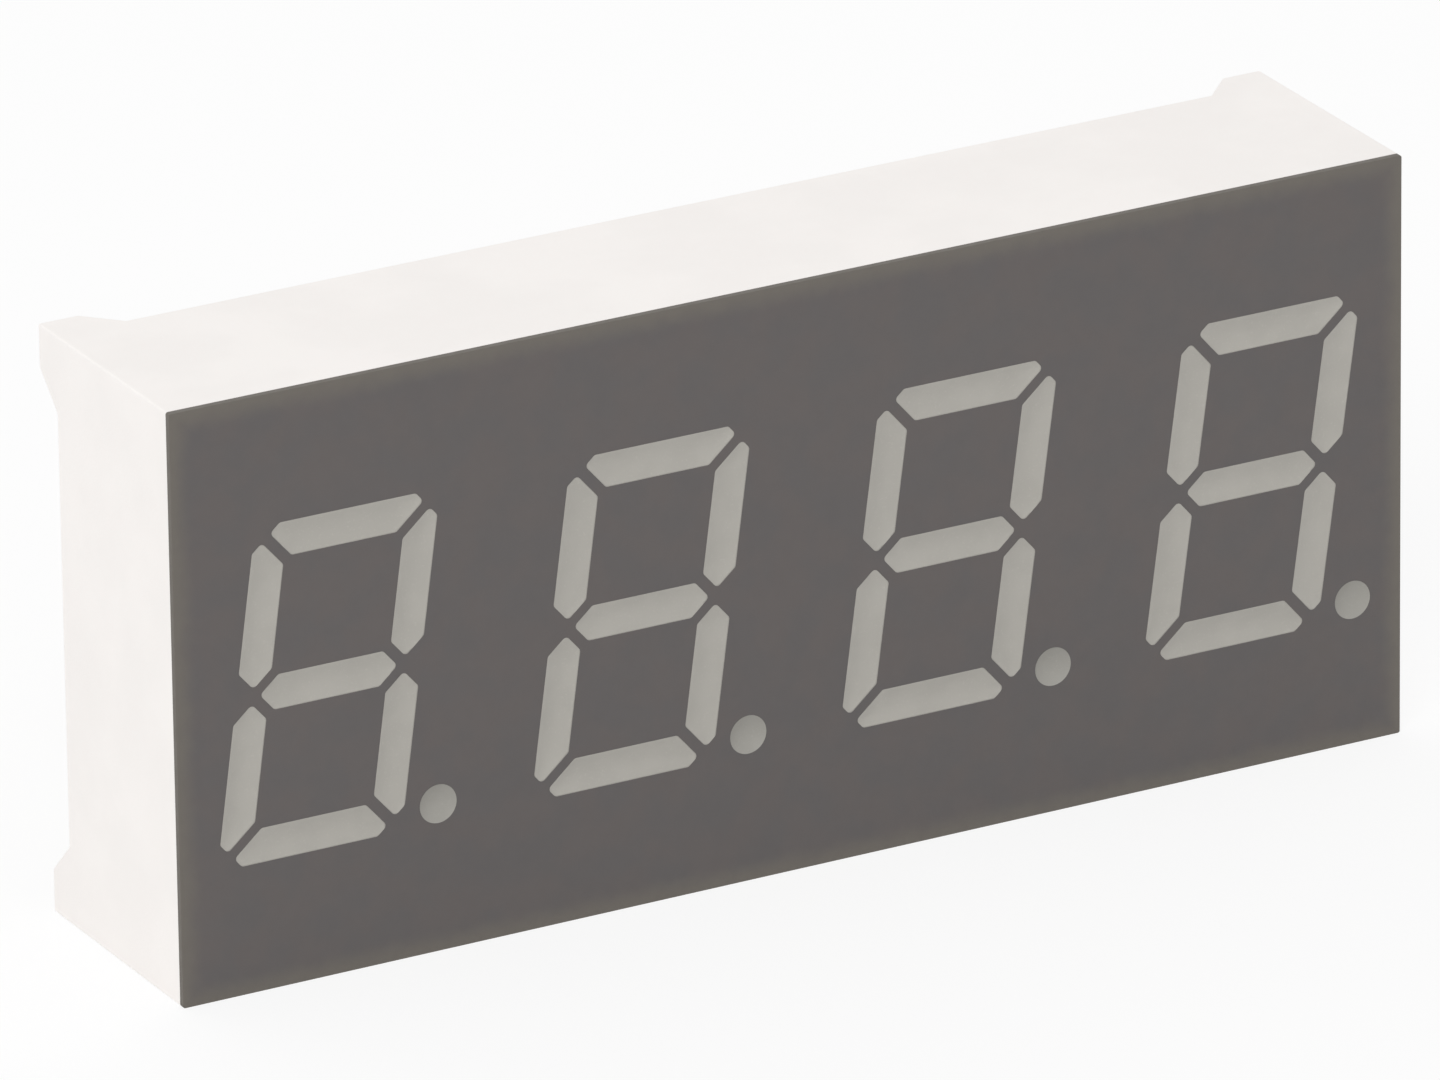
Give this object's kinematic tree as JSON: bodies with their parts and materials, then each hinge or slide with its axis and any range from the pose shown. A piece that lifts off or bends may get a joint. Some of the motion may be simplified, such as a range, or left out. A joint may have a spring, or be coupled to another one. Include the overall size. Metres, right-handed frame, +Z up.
{
  "type": "seven-segment led display",
  "caption": "Unlit multi-digit seven-segment display with decimal points: white box housing, grey face, corner feet behind and rows of round pins.",
  "frame": {"origin": "centre of the pin pattern on the seating plane of the four corner feet", "axes": "+X along the digits from left to right, +Z up the digits, +Y out of the back along the pins; the face looks along -Y"},
  "size_m": [0.03, 0.0086, 0.0136],
  "materials": {
    "housing_plastic": "moulded, satin",
    "face_ink": "matt print",
    "segment_resin": "diffusing cast resin, unlit",
    "point_resin": "diffusing cast resin, unlit",
    "board": "glass-fibre board",
    "die": "semiconductor die",
    "gold_wire": "drawn gold wire",
    "pin_metal": "tinned",
    "solder": "solder",
    "rear_resin": "cast resin"
  },
  "bodies": {
    "root": {"housing": "housing_plastic", "face_mask": "face_ink", "circuit_board": "board", "pin_solder": "solder", "rear_fill": "rear_resin", "digit_1_segment_a": "segment_resin", "digit_1_segment_b": "segment_resin", "digit_1_segment_c": "segment_resin", "digit_1_segment_d": "segment_resin", "digit_1_segment_e": "segment_resin", "digit_1_segment_f": "segment_resin", "digit_1_segment_g": "segment_resin", "digit_1_point": "point_resin", "digit_1_dies": "die", "digit_1_bond_wires": "gold_wire", "digit_2_segment_a": "segment_resin", "digit_2_segment_b": "segment_resin", "digit_2_segment_c": "segment_resin", "digit_2_segment_d": "segment_resin", "digit_2_segment_e": "segment_resin", "digit_2_segment_f": "segment_resin", "digit_2_segment_g": "segment_resin", "digit_2_point": "point_resin", "digit_2_dies": "die", "digit_2_bond_wires": "gold_wire", "digit_3_segment_a": "segment_resin", "digit_3_segment_b": "segment_resin", "digit_3_segment_c": "segment_resin", "digit_3_segment_d": "segment_resin", "digit_3_segment_e": "segment_resin", "digit_3_segment_f": "segment_resin", "digit_3_segment_g": "segment_resin", "digit_3_point": "point_resin", "digit_3_dies": "die", "digit_3_bond_wires": "gold_wire", "digit_4_segment_a": "segment_resin", "digit_4_segment_b": "segment_resin", "digit_4_segment_c": "segment_resin", "digit_4_segment_d": "segment_resin", "digit_4_segment_e": "segment_resin", "digit_4_segment_f": "segment_resin", "digit_4_segment_g": "segment_resin", "digit_4_point": "point_resin", "digit_4_dies": "die", "digit_4_bond_wires": "gold_wire", "pin_1": "pin_metal", "pin_2": "pin_metal", "pin_3": "pin_metal", "pin_4": "pin_metal", "pin_5": "pin_metal", "pin_6": "pin_metal", "pin_7": "pin_metal", "pin_8": "pin_metal", "pin_9": "pin_metal", "pin_10": "pin_metal", "pin_11": "pin_metal", "pin_12": "pin_metal"}
  },
  "joints": []
}
